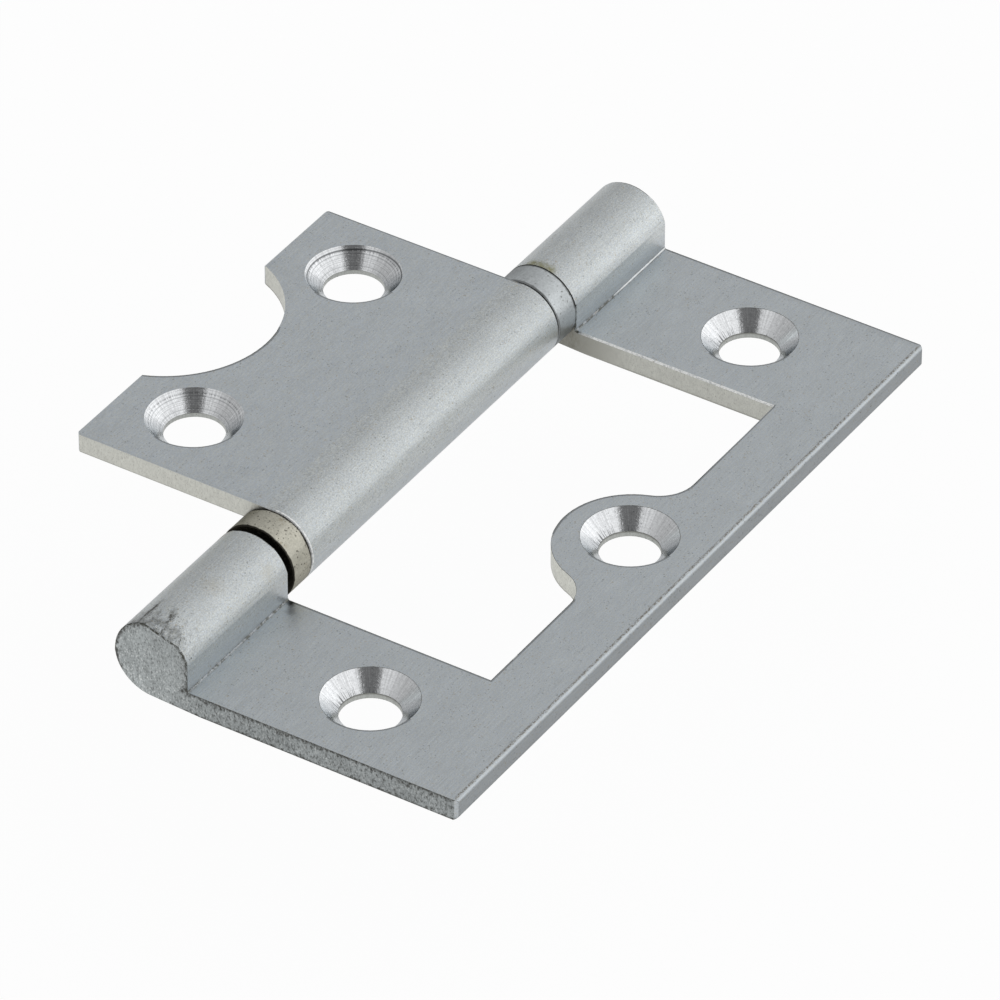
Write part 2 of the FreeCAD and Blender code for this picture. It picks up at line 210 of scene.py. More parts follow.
# Fine lines along Y, as abrasive belts leave them, over a fine grain and a slow cloudiness.
def makeBrushing():
    tree, given, out = newGroup("brushedAlongPin", {"Fineness": 6.0, "Length": 0.06, "Grain": 9.0},
                                ["Lines", "Grain", "Tone", "Cloud"])
    place = placeOf(tree)
    stretch = addNode(tree, "ShaderNodeCombineXYZ", {"X": 1.0, "Y": given["Length"], "Z": 1.0}).outputs[0]
    return giveOut(
        tree, out,
        Lines=noiseAt(tree, place, stretch, given["Fineness"], 2.0, 0.6),
        Grain=noiseAt(tree, place, (1.0, 0.75, 1.0), given["Grain"], 2.0, 0.6),
        Tone=noiseAt(tree, place, (1.3, 0.6, 1.1), given["Fineness"], 1.0, 0.5),
        Cloud=noiseAt(tree, place, (1.0, 0.45, 1.0), 0.55, 4.0, 0.6))


# Small pits of mixed sizes, strewn in patches: Amount runs from none at 0 to thick at 1.
def makeSpecks():
    wobble, leastRadius, moreRadius, softness = 0.2, 0.14, 0.36, 0.55
    tree, given, out = newGroup("specks", {"Size": 0.22, "Amount": 0.3, "Patch": 0.25}, ["Mask"])
    place = placeOf(tree)
    waves = addNode(tree, "ShaderNodeTexNoise", {"Vector": place, "Scale": 6.0}).outputs["Color"]
    cells = addNode(tree, "ShaderNodeTexVoronoi", {
        "Vector": vectorMath(tree, "MULTIPLY_ADD", waves, (wobble, wobble, wobble), place),
        "Scale": calc(tree, "DIVIDE", 1.0, given["Size"])})
    dice = addNode(tree, "ShaderNodeSeparateColor", {"Color": cells.outputs["Color"]}).outputs
    patch = noiseAt(tree, place, (1.0, 0.7, 1.0), given["Patch"], 2.0)
    likely = times(tree, given["Amount"], fade(tree, patch, 0.38, 0.68))
    chosen = calc(tree, "LESS_THAN", dice[0], likely)
    radius = scaled(tree, calc(tree, "POWER", dice[1], 2.0), moreRadius, leastRadius)
    depth = calc(tree, "SUBTRACT", 1.0, calc(tree, "DIVIDE", cells.outputs["Distance"], radius))
    return giveOut(tree, out, Mask=times(tree, chosen, fade(tree, depth, 0.0, softness)))


# Grains of a sawn or ground face: coarse relief, bright sparks and dark hollows.
def makeGrain():
    tree, given, out = newGroup("grain", {"Scale": 3.2, "Upright": 0.7}, ["Relief", "Sparks", "Hollows"])
    place = placeOf(tree)
    stretch = addNode(tree, "ShaderNodeCombineXYZ", {"X": 1.0, "Y": 1.0, "Z": given["Upright"]}).outputs[0]
    fine = noiseAt(tree, place, stretch, times(tree, given["Scale"], 2.3), 2.0, 0.6)
    return giveOut(
        tree, out,
        Relief=noiseAt(tree, place, stretch, given["Scale"], 5.0, 0.72),
        Sparks=fade(tree, fine, 0.58, 0.7),
        Hollows=fade(tree, fine, 0.46, 0.32))


# Turned metal round an axis along Z: rings by height, and chatter by the way a face looks.
def makeTurning():
    plain = (1.0, 1.0, 1.0)
    tree, given, out = newGroup("turned", {"Rings": 9.0, "Chatter": 7.0}, ["Rings", "Chatter", "Flecks"])
    height = addNode(tree, "ShaderNodeCombineXYZ", {"Z": partsOf(tree)["Z"]}).outputs[0]
    facing = facingOf(tree)
    swept = vectorMath(tree, "MULTIPLY", facing, (17.0, 17.0, 0.0))
    fleckPlace = vectorMath(tree, "MULTIPLY_ADD", height, (1.0, 1.0, 9.0), swept)
    return giveOut(
        tree, out,
        Rings=noiseAt(tree, height, plain, given["Rings"], 3.0, 0.7),
        Chatter=noiseAt(tree, facing, (1.0, 1.0, 0.0), given["Chatter"], 3.0, 0.6),
        Flecks=noiseAt(tree, fleckPlace, plain, 1.0, 3.0, 0.75))


# How far a place is from a line along Y at X, Z.
def makeLineReach():
    tree, given, out = newGroup("lineReach", {"X": 0.0, "Z": 0.0}, ["Reach"])
    parts = partsOf(tree)
    across = calc(tree, "POWER", calc(tree, "SUBTRACT", parts["X"], given["X"]), 2.0)
    above = calc(tree, "POWER", calc(tree, "SUBTRACT", parts["Z"], given["Z"]), 2.0)
    return giveOut(tree, out, Reach=calc(tree, "SQRT", calc(tree, "ADD", across, above)))


# Height above the back of whichever plate a place is in.
def makePlateHeight():
    tree, _, out = newGroup("plateHeight", {}, ["Height"])
    height = partsOf(tree)["Z"]
    inUpper = calc(tree, "GREATER_THAN", height, plate["innerBack"] - 0.4)
    return giveOut(tree, out, Height=calc(tree, "SUBTRACT", height, times(tree, inUpper, plate["innerBack"])))


groups = {"brushing": makeBrushing(), "specks": makeSpecks(), "grain": makeGrain(),
          "turning": makeTurning(), "lineReach": makeLineReach(), "plateHeight": makePlateHeight()}
print("shared effects made:", ", ".join(groups))


def useGroup(tree, name, **inputs):
    return addNode(tree, "ShaderNodeGroup", inputs, node_tree=groups[name]).outputs


def specksIn(tree, size, amount, patch):
    return useGroup(tree, "specks", Size=size, Amount=amount, Patch=patch)["Mask"]


def fromLine(tree, x, z):
    return useGroup(tree, "lineReach", X=x, Z=z)["Reach"]


def newMaterial(name, metallic, **plain):
    material = bpy.data.materials.new(name)
    material.use_nodes = True
    tree = material.node_tree
    surface = tree.nodes["Principled BSDF"]
    surface.inputs["Metallic"].default_value = metallic
    for label, value in plain.items():
        surface.inputs[label].default_value = value
    return material, tree, surface


def setBump(tree, surface, height, distance):
    bump = addNode(tree, "ShaderNodeBump", {"Height": height, "Distance": distance * mm, "Strength": 1.0})
    tree.links.new(bump.outputs[0], surface.inputs["Normal"])


# A blot with a ragged edge round one point.
def blot(tree, centre, radius, tear, ragged=0.5):
    place = placeOf(tree)
    away = vectorMath(tree, "DISTANCE", place, centre)
    torn = noiseAt(tree, place, (1.0, 1.0, 1.0), tear, 4.0, 0.7)
    reach = scaled(tree, torn, radius * ragged * 4, away)
    return fade(tree, reach, radius * (1 + ragged * 2), radius * ragged * 2)


satin = {
    "cool": (192, 199, 206), "warm": (201, 203, 199), "roughness": 0.38, "relief": 0.008,
    "plateGrain": 0.5, "knuckleGrain": 0.95, "lines": 0.34, "frayedLines": 0.14, "clouds": 0.08,
    "soot": {"colour": (92, 92, 84), "strength": 0.42},
    "stain": {"colour": (168, 148, 108), "strength": 0.4},
    # painted highlight on the far knuckle's right side
    "farKnuckleSheen": {"fromZ": 3.3, "fromY": 18.0, "fullY": 28.0, "level": 0.2},
    "haze": {"reach": 0.9, "level": 0.2},
    # painted shade and pits in the fillet at the knuckle's foot, then a painted highlight along it
    "foot": {"width": 0.13, "level": 0.72, "pits": 0.85},
    "footHighlight": {"colour": (246, 248, 248), "fromY": 24.5, "width": 0.075, "strength": 0.7},
    # painted shade low on the upright sides and over the outer side
    "lowShade": {"height": 0.45, "level": 0.3}, "side": 0.38,
    "sideLine": {"colour": (96, 84, 62), "inset": 0.3, "width": 0.13, "strength": 0.75},
}

endSoot = {
    "colour": (60, 56, 48), "onKnuckle": 0.49, "onPlate": 0.6, "fadesBy": 0.05, "flecks": 0.75,
    "pepper": {"reach": 6.0, "strength": 0.75}, "mist": {"fadesBy": 0.08, "strength": 0.55},
    "streaks": [
        {"from": (-5.40, -31.59, 6.26), "to": (-5.31, -28.56, 6.30), "width": 0.3},
        {"from": (-3.22, -32.02, 6.34), "to": (-3.90, -29.12, 6.49), "width": 0.26},
    ],
    "streakStrength": 0.85,
}

# Blots laid on the satin plate; one of them is a painted shadow.
blots = [
    {"at": (-0.75, -19.4, 1.8), "radius": 0.5, "tear": 4.0, "colour": (50, 50, 46), "strength": 0.85},
    {"at": (-0.2, -20.3, 1.8), "radius": 0.5, "tear": 3.0, "colour": (110, 112, 110), "strength": 0.5},
    {"at": (-5.1, 19.6, 6.4), "radius": 0.7, "tear": 7.0, "colour": (128, 124, 70), "strength": 0.8},
    {"at": (-4.3, 19.55, 6.5), "radius": 0.75, "tear": 7.0, "colour": (132, 128, 74), "strength": 0.85},
    {"at": (-3.5, 19.6, 6.4), "radius": 0.65, "tear": 7.0, "colour": (136, 132, 80), "strength": 0.8},
    {"at": (-6.75, -19.2, 5.2), "radius": 1.1, "tear": 5.0, "colour": (120, 88, 48), "strength": 0.9},
    # painted shadow under the far washer's lower edge, at the window's far wall
    {"at": (-0.9, 19.4, 2.0), "radius": 0.35, "tear": 4.0, "colour": (52, 50, 44), "strength": 0.9},
    {"at": (-1.7, -20.9, 5.2), "radius": 0.9, "tear": 2.2, "colour": (176, 170, 152), "strength": 0.35},
    {"at": (-3.2, -25.6, 6.3), "radius": 1.1, "tear": 2.4, "colour": (178, 170, 150), "strength": 0.3},
]


# A sooty streak that narrows from its start to its end, with torn sides.
def sootStreak(tree, streak, flecks):
    start, end = Vector(streak["from"]), Vector(streak["to"])
    along = (end - start).normalized()
    offset = vectorMath(tree, "SUBTRACT", placeOf(tree), start)
    gone = vectorMath(tree, "DOT_PRODUCT", offset, along)
    away = vectorMath(tree, "LENGTH", vectorMath(tree, "CROSS_PRODUCT", offset, along))
    left = fade(tree, gone, (end - start).length, -0.5)
    ragged = swing(tree, flecks, -1.6, away)
    return times(tree, fade(tree, ragged, streak["width"], 0.0), fade(tree, left, 0.0, 0.3),
                 fade(tree, gone, -0.8, -0.2))


# Soot that the sawn end has left on the surfaces behind it: flecks, pepper, a mist, and two streaks
# beside the filed crown.
def endSmudge(tree, parts, behind, onKnuckle, torn):
    pepper, mist = endSoot["pepper"], endSoot["mist"]
    flecks = noiseAt(tree, placeOf(tree), (1.0, 0.55, 1.0), 3.6, 5.0, 0.85)
    onTop = times(tree, onKnuckle, fade(tree, parts["Z"], pinZ + 1.2, pinZ + 2.6))
    least = scaled(tree, onTop, endSoot["onKnuckle"] - endSoot["onPlate"], endSoot["onPlate"])
    least = scaled(tree, behind, endSoot["fadesBy"], least)
    flecked = fade(tree, calc(tree, "SUBTRACT", flecks, least), 0.0, 0.07)
    peppered = times(tree, fade(tree, behind, pepper["reach"], 0.5), specksIn(tree, 0.2, 0.75, 0.5),
                     onKnuckle)
    misty = calc(tree, "SUBTRACT", torn, scaled(tree, behind, mist["fadesBy"], 0.36))
    misty = times(tree, fade(tree, misty, 0.0, 0.22), onTop)
    smudge = strongest(tree, times(tree, flecked, endSoot["flecks"]), times(tree, misty, mist["strength"]),
                       times(tree, peppered, pepper["strength"]))
    smudge = times(tree, smudge, fade(tree, behind, 6.0, 4.0))
    for streak in endSoot["streaks"]:
        trace = times(tree, sootStreak(tree, streak, flecks), endSoot["streakStrength"])
        smudge = strongest(tree, smudge, trace)
    return smudge


# Satin plate on the drawn faces of both leaves, at its own level, or as a darker copy that is painted shade on the
# strips along the rounder edges.
def makeSatin(name, fullLevel):
    material, tree, surface = newMaterial(name, 1.0)
    parts = partsOf(tree)
    brushed = useGroup(tree, "brushing", Fineness=10.0, Length=0.05, Grain=11.0)
    torn = noiseAt(tree, placeOf(tree), (1.0, 0.6, 1.0), 2.6, 5.0, 0.75)
    soot = specksIn(tree, 0.17, 0.7, 0.9)
    stain = specksIn(tree, 0.21, 0.45, 0.8)
    radius, foot = knuckle["radius"], knuckle["foot"]
    axisReach = fromLine(tree, pinX, pinZ)
    onKnuckle = times(tree, fade(tree, axisReach, radius + 0.25, radius + 0.1),
                      fade(tree, parts["Z"], pinZ - 0.6, pinZ + 0.2))
    behind = calc(tree, "SUBTRACT", parts["Y"], outerLow.y)

    warmth = fade(tree, scaled(tree, onKnuckle, 0.12, brushed["Tone"]), 0.3, 0.8)
    colour = mixColour(tree, warmth, screen(*satin["cool"]), screen(*satin["warm"]))
    grainShare = scaled(tree, onKnuckle, satin["knuckleGrain"] - satin["plateGrain"], satin["plateGrain"])
    frayed = scaled(tree, fade(tree, behind, 4.5, 0.5), satin["frayedLines"], satin["lines"])
    colour = tint(tree, colour, times(
        tree, swing(tree, brushed["Grain"], grainShare, 1.0), swing(tree, brushed["Lines"], frayed, 1.0),
        around(tree, brushed["Cloud"], fullLevel, satin["clouds"])))
    # painted highlight: the far knuckle's right side is made lighter towards the far end
    farKnuckleSheen = satin["farKnuckleSheen"]
    sheenMask = times(tree, fade(tree, parts["X"], pinX + 2.0, pinX + 2.9),
                fade(tree, parts["X"], foot + 0.3, foot + 0.15),
                fade(tree, parts["Z"], farKnuckleSheen["fromZ"] - 0.9, farKnuckleSheen["fromZ"]),
                fade(tree, parts["Y"], farKnuckleSheen["fromY"], farKnuckleSheen["fullY"]))
    colour = tint(tree, colour, scaled(tree, sheenMask, farKnuckleSheen["level"], 1.0))
    colour = paintOver(tree, colour, stain, satin["stain"]["colour"], satin["stain"]["strength"])
    colour = paintOver(tree, colour, soot, satin["soot"]["colour"], satin["soot"]["strength"])
    smudge = endSmudge(tree, parts, behind, onKnuckle, torn)
    colour = paintOver(tree, colour, smudge, endSoot["colour"])
    # the far end is dulled by tumbling
    haze = satin["haze"]
    before = calc(tree, "SUBTRACT", outerHigh.y, parts["Y"])
    dulled = times(tree, fade(tree, scaled(tree, torn, 0.6, before), haze["reach"] + 0.3, 0.3),
                   fade(tree, parts["X"], foot, outerHigh.x))
    colour = tint(tree, colour, scaled(tree, dulled, -haze["level"], 1.0))
    for mark in blots:
        mask = blot(tree, mark["at"], mark["radius"], mark["tear"])
        colour = paintOver(tree, colour, mask, mark["colour"], mark["strength"])
    # painted shade in the fillet at the foot of the knuckle, with dark pits, and a painted highlight along it near
    # the far end
    atFoot, footHighlight = satin["foot"], satin["footHighlight"]
    footReach = fromLine(tree, foot + 0.05, plate["top"] + 0.05)
    inFillet = fade(tree, footReach, atFoot["width"], 0.07)
    colour = tint(tree, colour, scaled(tree, inFillet, atFoot["level"] - 1.0, 1.0))
    pitted = times(tree, inFillet, fade(tree, torn, 0.47, 0.55))
    colour = paintOver(tree, colour, pitted, satin["soot"]["colour"], atFoot["pits"])
    highlightLine = times(tree, fade(tree, footReach, footHighlight["width"], 0.045),
                  fade(tree, parts["Y"], footHighlight["fromY"], footHighlight["fromY"] + 1.5))
    colour = paintOver(tree, colour, highlightLine, footHighlight["colour"], footHighlight["strength"])
    # painted shade: upright sides darker towards their lower edge, and the outer side darker as a whole
    lowShade = satin["lowShade"]
    upward = addNode(tree, "ShaderNodeSeparateXYZ", {0: facingOf(tree)}).outputs["Z"]
    low = times(tree, fade(tree, useGroup(tree, "plateHeight")["Height"], lowShade["height"], 0.02),
                fade(tree, upward, -0.8, -0.4), fade(tree, axisReach, radius + 0.3, radius + 0.6))
    sideShade = times(tree, fade(tree, parts["X"], outerHigh.x - 0.1, outerHigh.x - 0.02), satin["side"])
    colour = tint(tree, colour, calc(tree, "SUBTRACT", scaled(tree, low, -lowShade["level"], 1.0), sideShade))
    # a dotted line of dirt along the outer side's top edge
    line = satin["sideLine"]
    dotted = times(tree, fade(tree, fromLine(tree, outerHigh.x - line["inset"], plate["top"]),
                              line["width"], line["width"] * 0.4),
                   fade(tree, brushed["Grain"], 0.44, 0.54))
    colour = paintOver(tree, colour, dotted, line["colour"], line["strength"])

    tree.links.new(colour, surface.inputs["Base Color"])
    rough = scaled(tree, strongest(tree, smudge, soot), 0.15,
                   around(tree, brushed["Lines"], satin["roughness"], 0.05))
    tree.links.new(rough, surface.inputs["Roughness"])
    height = scaled(tree, brushed["Grain"], grainShare, brushed["Lines"])
    setBump(tree, surface, calc(tree, "SUBTRACT", height, soot), satin["relief"])
    return material


sawn = {
    "colour": (185, 190, 190), "hollow": (74, 74, 69), "spark": (240, 242, 240), "rim": (62, 60, 54),
    "relief": 0.05, "rimWidth": 0.34, "rimStrength": 0.85, "hollows": 0.55, "clouds": 0.35, "fineness": 4.0,
}


# The coarse ends of the large leaf, dark and ragged along their outline, brighter to the upper left.
def makeSawn():
    material, tree, surface = newMaterial("sawnEnd", 1.0, Roughness=0.46)
    grain = useGroup(tree, "grain", Scale=sawn["fineness"], Upright=0.6)
    cloud = useGroup(tree, "brushing", Fineness=4.0, Length=1.0, Grain=6.0)["Cloud"]
    parts = partsOf(tree)
    insideBarrel = calc(tree, "SUBTRACT", knuckle["radius"], fromLine(tree, pinX, pinZ))
    insidePlate = calc(tree, "SUBTRACT", plate["top"], parts["Z"])
    inside = calc(tree, "MINIMUM", strongest(tree, insideBarrel, insidePlate), times(tree, parts["Z"], 1.4))
    rim = fade(tree, swing(tree, grain["Relief"], 1.6, inside), sawn["rimWidth"], 0.0)
    onPlate = fade(tree, parts["X"], knuckle["foot"] - 1.0, knuckle["foot"] + 0.5)
    brighter = fade(tree, calc(tree, "ADD", parts["X"], parts["Z"]), pinX + pinZ + 2.5, pinX + pinZ - 3.5)
    colour = paintOver(tree, screen(*sawn["colour"]), grain["Hollows"], sawn["hollow"], sawn["hollows"])
    colour = tint(tree, colour, around(tree, cloud, 1.0, sawn["clouds"]))
    patches = times(tree, fade(tree, grain["Relief"], 0.5, 0.4), scaled(tree, onPlate, 0.35, 0.25))
    colour = paintOver(tree, colour, patches, sawn["rim"])
    colour = tint(tree, colour, scaled(tree, onPlate, -0.12, 1.0))
    sparks = times(tree, grain["Sparks"], scaled(tree, brighter, 0.45, 0.5))
    colour = paintOver(tree, colour, sparks, sawn["spark"])
    colour = tint(tree, colour, scaled(tree, brighter, 0.12, 0.9))
    colour = paintOver(tree, colour, rim, sawn["rim"], sawn["rimStrength"])
    tree.links.new(colour, surface.inputs["Base Color"])
    setBump(tree, surface, grain["Relief"], sawn["relief"])
    return material


milled = {
    "colour": (216, 216, 208), "soot": (118, 115, 104), "relief": 0.012,
    # the soot along the wall bottoms and beside the knuckle is painted shade, and the lifts are painted light and
    # shade
    "specks": 0.6, "hollows": 0.3, "bottomShade": 0.6, "lift": 0.18, "farWallLift": -0.1,
}


# Walls that a cutter or a press left bare: window, notch and the small leaf's ends.
def makeMilled():
    material, tree, surface = newMaterial("milledWall", 1.0, Roughness=0.4)
    grain = useGroup(tree, "grain", Scale=4.5, Upright=0.5)
    parts = partsOf(tree)
    onFarWall = calc(tree, "COMPARE", parts["Y"], window["farY"], 0.2)
    cornerShade = times(tree, fade(tree, parts["X"], knuckle["foot"] + 5.0, knuckle["foot"] - 0.5), onFarWall)
    bottomShade = fade(tree, useGroup(tree, "plateHeight")["Height"], 0.2, 0.03)
    # painted shade: darker along the bottom of the walls and on the window's far wall near the knuckle, over real
    # specks and hollows
    soot = strongest(
        tree, times(tree, specksIn(tree, 0.18, 0.3, 0.5), milled["specks"]),
        times(tree, grain["Hollows"], milled["hollows"]), times(tree, bottomShade, milled["bottomShade"]),
        times(tree, cornerShade, around(tree, grain["Relief"], 0.75, 0.5)))
    colour = paintOver(tree, screen(*milled["colour"]), soot, milled["soot"])
    colour = tint(tree, colour, around(tree, grain["Relief"], 1.0, 0.3))
    # painted light and shade: the large leaf's walls lighter, the window's far wall darker
    inLower = calc(tree, "LESS_THAN", parts["Z"], plate["innerBack"] - 0.4)
    lift = scaled(tree, onFarWall, milled["farWallLift"] - milled["lift"], milled["lift"])
    colour = tint(tree, colour, scaled(tree, inLower, lift, 1.0))
    tree.links.new(colour, surface.inputs["Base Color"])
    setBump(tree, surface, grain["Relief"], milled["relief"])
    return material


sunk = {
    "colour": (246, 247, 248), "groove": (112, 115, 117), "scratch": (70, 73, 75), "relief": 0.012,
    "tint": (0.85, 0.87, 0.88, 1.0), "roughness": 0.08, "pits": 0.6,
    "scratches": {"from": 0.46, "least": 0.52, "diesBy": 0.17},
    "ring": {"height": 1.4, "width": 0.04}, "deepStrength": 0.75,
    "step": {"middle": (-15.33, 11.17, 0.0), "radius": 3.5, "width": 0.06},
    # painted dark reflection on the countersink's left-facing side
    "darkReflection": {"towards": (-0.93, 0.37, 0.0), "from": 0.5, "full": 0.6, "strength": 0.5,
            "colour": (84, 92, 100)},
}


# Bright turned countersinks: scratched up from the hole in the large leaf, and ringed in the small one.
def makeSunk():
    material, tree, surface = newMaterial("countersink", 1.0)
    surface.inputs["Specular Tint"].default_value = sunk["tint"]
    turned = useGroup(tree, "turning", Rings=11.0, Chatter=32.0)
    parts = partsOf(tree)
    above = useGroup(tree, "plateHeight")["Height"]
    facing = facingOf(tree)
    inSmallLeaf = calc(tree, "GREATER_THAN", parts["Z"], plate["innerBack"])
    flecks = fade(tree, turned["Flecks"], 0.36, 0.64)
    fans = fade(tree, turned["Chatter"], 0.38, 0.62)
    colour = tint(tree, screen(*sunk["colour"]),
                  times(tree, around(tree, flecks, 0.93, 0.1), around(tree, fans, 0.98, 0.12)))
    rings = times(tree, fade(tree, turned["Rings"], 0.5, 0.62), scaled(tree, inSmallLeaf, 0.4, 0.12))
    pits = times(tree, specksIn(tree, 0.16, 0.5, 0.6), sunk["pits"])
    colour = paintOver(tree, colour, strongest(tree, rings, pits), sunk["groove"])
    # radial scratches that start at the hole and die out towards the rim
    cut = sunk["scratches"]
    risen = calc(tree, "SUBTRACT", above, cut["from"])
    sharp = calc(tree, "SUBTRACT", turned["Chatter"], times(tree, risen, cut["diesBy"]))
    rightward = addNode(tree, "ShaderNodeSeparateXYZ", {0: facing}).outputs["X"]
    scratched = times(tree, fade(tree, sharp, cut["least"], cut["least"] + 0.04),
                      scaled(tree, inSmallLeaf, -0.6, 1.0),
                      scaled(tree, fade(tree, rightward, 0.25, 0.5), 0.7, 0.12))
    colour = paintOver(tree, colour, scratched, sunk["scratch"])
    # in the small leaf, one deeper ring near the rim, and the step of a second cut off the middle
    ring, step = sunk["ring"], sunk["step"]
    fromRing = calc(tree, "ABSOLUTE", calc(tree, "SUBTRACT", above, ring["height"]))
    ringed = times(tree, fade(tree, fromRing, ring["width"], 0.0), fade(tree, turned["Chatter"], 0.6, 0.44))
    inPlan = addNode(tree, "ShaderNodeCombineXYZ", {"X": parts["X"], "Y": parts["Y"]}).outputs[0]
    reach = vectorMath(tree, "DISTANCE", inPlan, step["middle"])
    fromStep = calc(tree, "ABSOLUTE", calc(tree, "SUBTRACT", reach, step["radius"]))
    stepped = fade(tree, fromStep, step["width"], step["width"] * 0.4)
    deep = times(tree, strongest(tree, ringed, stepped), inSmallLeaf)
    colour = paintOver(tree, colour, deep, sunk["scratch"], sunk["deepStrength"])
    # a painted dark reflection on the side that looks left
    darkReflection = sunk["darkReflection"]
    reflectionWedge = fade(tree, vectorMath(tree, "DOT_PRODUCT", facing, darkReflection["towards"]), darkReflection["from"], darkReflection["full"])
    colour = paintOver(tree, colour, reflectionWedge, darkReflection["colour"], darkReflection["strength"])
    tree.links.new(colour, surface.inputs["Base Color"])
    tree.links.new(scaled(tree, flecks, 0.07, sunk["roughness"]), surface.inputs["Roughness"])
    height = scaled(tree, turned["Rings"], scaled(tree, inSmallLeaf, 0.8, 0.2), turned["Flecks"])
    setBump(tree, surface, height, sunk["relief"])
    return material


land = {"colour": (188, 190, 186), "soot": (80, 76, 68), "pits": 0.7, "lip": 0.4, "lipSoot": 0.5,
        "relief": 0.008}


# The short straight wall of a screw hole under its countersink.
def makeLand():
    material, tree, surface = newMaterial("holeLand", 1.0, Roughness=0.34)
    turned = useGroup(tree, "turning", Rings=6.0, Chatter=12.0)
    lip = fade(tree, useGroup(tree, "plateHeight")["Height"], land["lip"] - 0.12, land["lip"])
    soot = strongest(tree, times(tree, specksIn(tree, 0.16, 0.5, 0.7), land["pits"]),
                     times(tree, lip, land["lipSoot"]))
    colour = paintOver(tree, screen(*land["colour"]), soot, land["soot"])
    colour = tint(tree, colour, around(tree, turned["Chatter"], 1.0, 0.3))
    tree.links.new(colour, surface.inputs["Base Color"])
    setBump(tree, surface, turned["Rings"], land["relief"])
    return material


arris = {
    # bright is the painted highlight colour
    "bright": (252, 252, 250), "plain": (170, 174, 174), "dark": (84, 84, 78),
    # rust specks, then the dark colour that is painted shade on edges that look back or left
    "rust": {"colour": (132, 112, 76), "strength": 0.5}, "stain": {"colour": (62, 64, 64), "strength": 0.9},
    "glintMetallic": 0.25, "relief": 0.03,
}


# Broken edges: dirt sits in most of them. Along the window's far edge, where the press turned the metal over, and
# along the small leaf's near rim, a near-white, less metallic colour is a painted highlight.
def makeArris():
    material, tree, surface = newMaterial("brokenEdge", 1.0, Roughness=0.34)
    surface.inputs["Specular Tint"].default_value = (0.05, 0.05, 0.05, 1.0)
    parts = partsOf(tree)
    torn = noiseAt(tree, placeOf(tree), (1.0, 1.0, 1.0), 5.0, 4.0, 0.7)
    # painted highlight on the window's far edge and the small leaf's near rim
    onFarWall = times(tree, calc(tree, "COMPARE", parts["Y"], window["farY"], 0.3),
                      fade(tree, parts["X"], knuckle["foot"] + 0.2, knuckle["foot"] + 1.2))
    onNearRim = times(tree, calc(tree, "COMPARE", parts["Y"], innerLow.y, 0.3),
                      fade(tree, parts["X"], pinX - 1.6, pinX - 0.6))
    glintMask = strongest(tree, onFarWall, onNearRim)
    dull = mixColour(tree, fade(tree, torn, 0.38, 0.52), screen(*arris["plain"]), screen(*arris["dark"]))
    glintColour = paintOver(tree, screen(*arris["bright"]), fade(tree, torn, 0.5, 0.6), arris["plain"], 0.6)
    colour = mixColour(tree, glintMask, dull, glintColour)
    rust, stain = arris["rust"], arris["stain"]
    colour = paintOver(tree, colour, specksIn(tree, 0.3, 0.5, 0.3), rust["colour"], rust["strength"])
    # painted shade: the rounder edges on the far and left sides are dark all along
    turned = vectorMath(tree, "DOT_PRODUCT", facingOf(tree), roundSide["towards"])
    colour = paintOver(tree, colour, fade(tree, turned, 0.02, 0.25), stain["colour"], stain["strength"])
    tree.links.new(colour, surface.inputs["Base Color"])
    tree.links.new(scaled(tree, glintMask, arris["glintMetallic"] - 1.0, 1.0), surface.inputs["Metallic"])
    setBump(tree, surface, torn, arris["relief"])
    return material


washer = {
    "near": {"colour": (191, 188, 175), "pit": (56, 52, 42), "pits": 5.5, "roughness": 0.4, "rust": 1.6,
             "edges": 0.95},
    "far": {"colour": (198, 202, 203), "pit": (120, 120, 112), "pits": 0.4, "roughness": 0.38, "rust": 0.2,
            "edges": 0.55},
    "rust": {"colour": (140, 122, 82), "strength": 0.35}, "pitStrength": 0.85, "relief": 0.03,
    # the dark colour along both rims is painted shade
    "rimShade": (34, 31, 26), "edgeWidth": 0.14, "edgeTear": 0.5,
}


def makeWasherMetal(name, node):
    look, rust = washer[name], washer["rust"]
    low, high = boxOf(node)
    material, tree, surface = newMaterial(name + "WasherMetal", 1.0, Roughness=look["roughness"])
    surface.inputs["Specular Tint"].default_value = (0.4, 0.4, 0.4, 1.0)
    parts = partsOf(tree)
    pits = specksIn(tree, 0.17, look["pits"], 0.4)
    brushed = useGroup(tree, "brushing", Fineness=6.0, Length=0.9, Grain=7.0)
    colour = tint(tree, screen(*look["colour"]), times(
        tree, around(tree, brushed["Cloud"], 1.0, 0.4), around(tree, brushed["Grain"], 1.0, 0.3)))
    colour = paintOver(tree, colour, specksIn(tree, 0.5, look["rust"], 0.5), rust["colour"], rust["strength"])
    colour = paintOver(tree, colour, pits, look["pit"], washer["pitStrength"])
    # painted shade along both rims, where the washer meets its neighbours, narrower at the near one
    fromNear = times(tree, calc(tree, "SUBTRACT", parts["Y"], low.y), 1.5)
    inward = calc(tree, "MINIMUM", fromNear, calc(tree, "SUBTRACT", high.y, parts["Y"]))
    torn = swing(tree, brushed["Cloud"], washer["edgeTear"], inward)
    edge = fade(tree, torn, washer["edgeWidth"] + 0.05, washer["edgeWidth"] - 0.03)
    colour = paintOver(tree, colour, edge, washer["rimShade"], look["edges"])
    tree.links.new(colour, surface.inputs["Base Color"])
    height = calc(tree, "SUBTRACT", times(tree, brushed["Grain"], 0.3), pits)
    setBump(tree, surface, height, washer["relief"])
    return material


pin = {"dark": (88, 88, 86), "light": (120, 120, 117), "roughness": 0.42, "relief": 0.003}


